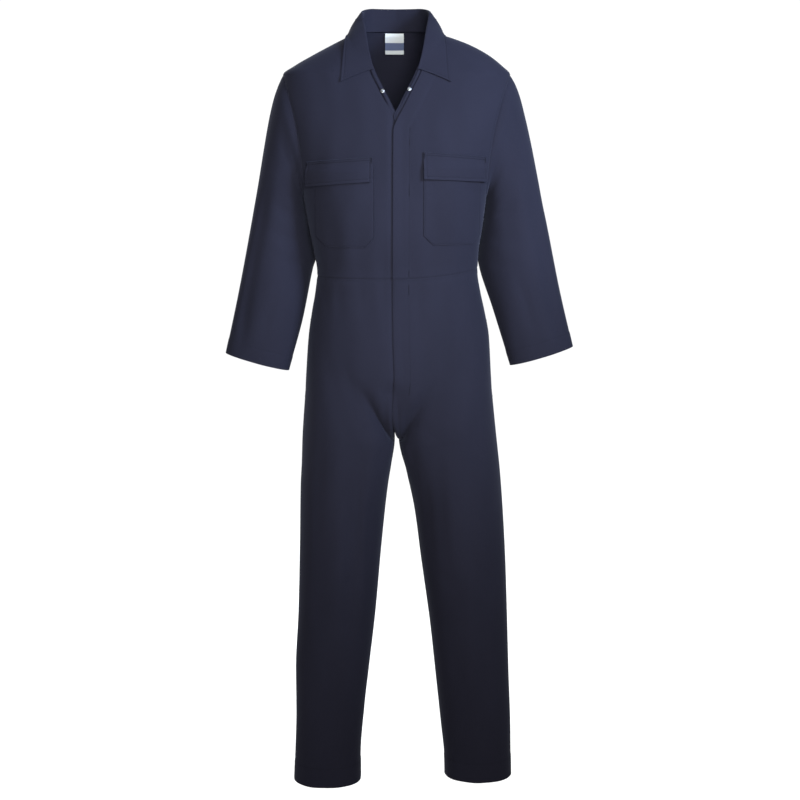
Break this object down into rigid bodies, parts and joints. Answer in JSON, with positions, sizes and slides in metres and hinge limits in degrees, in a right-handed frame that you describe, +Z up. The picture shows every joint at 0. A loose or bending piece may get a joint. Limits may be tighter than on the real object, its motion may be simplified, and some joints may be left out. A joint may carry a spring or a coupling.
{
  "type": "boiler suit",
  "caption": "Navy twill boiler suit with turned-down collar, hidden front closing, flapped breast pockets, long sleeves and straight legs, filled out and open.",
  "frame": {"origin": "middle of the neck base, between the two shoulder seams, where the wearer's shoulders hold the garment", "axes": "+Z up along the body, -Y out of the front, +X to the wearer's left"},
  "size_m": [0.7414, 0.2779, 1.6823],
  "materials": {
    "navy_twill": "matte twill weave",
    "navy_twill_strip": "matte twill weave",
    "white_tape": "woven tape",
    "stud_metal": "satin"
  },
  "bodies": {
    "root": {"front_right": "navy_twill", "front_left": "navy_twill", "back": "navy_twill", "sleeve_right": "navy_twill", "sleeve_left": "navy_twill", "trouser_front_right": "navy_twill", "trouser_front_left": "navy_twill", "trouser_back_right": "navy_twill", "trouser_back_left": "navy_twill", "collar": "navy_twill", "pocket_right": "navy_twill", "pocket_left": "navy_twill", "flap_right": "navy_twill", "flap_left": "navy_twill", "fly_facing": "navy_twill_strip", "underlap": "navy_twill_strip", "neck_label": "white_tape", "stud_right": "stud_metal", "stud_left": "stud_metal"}
  },
  "joints": []
}
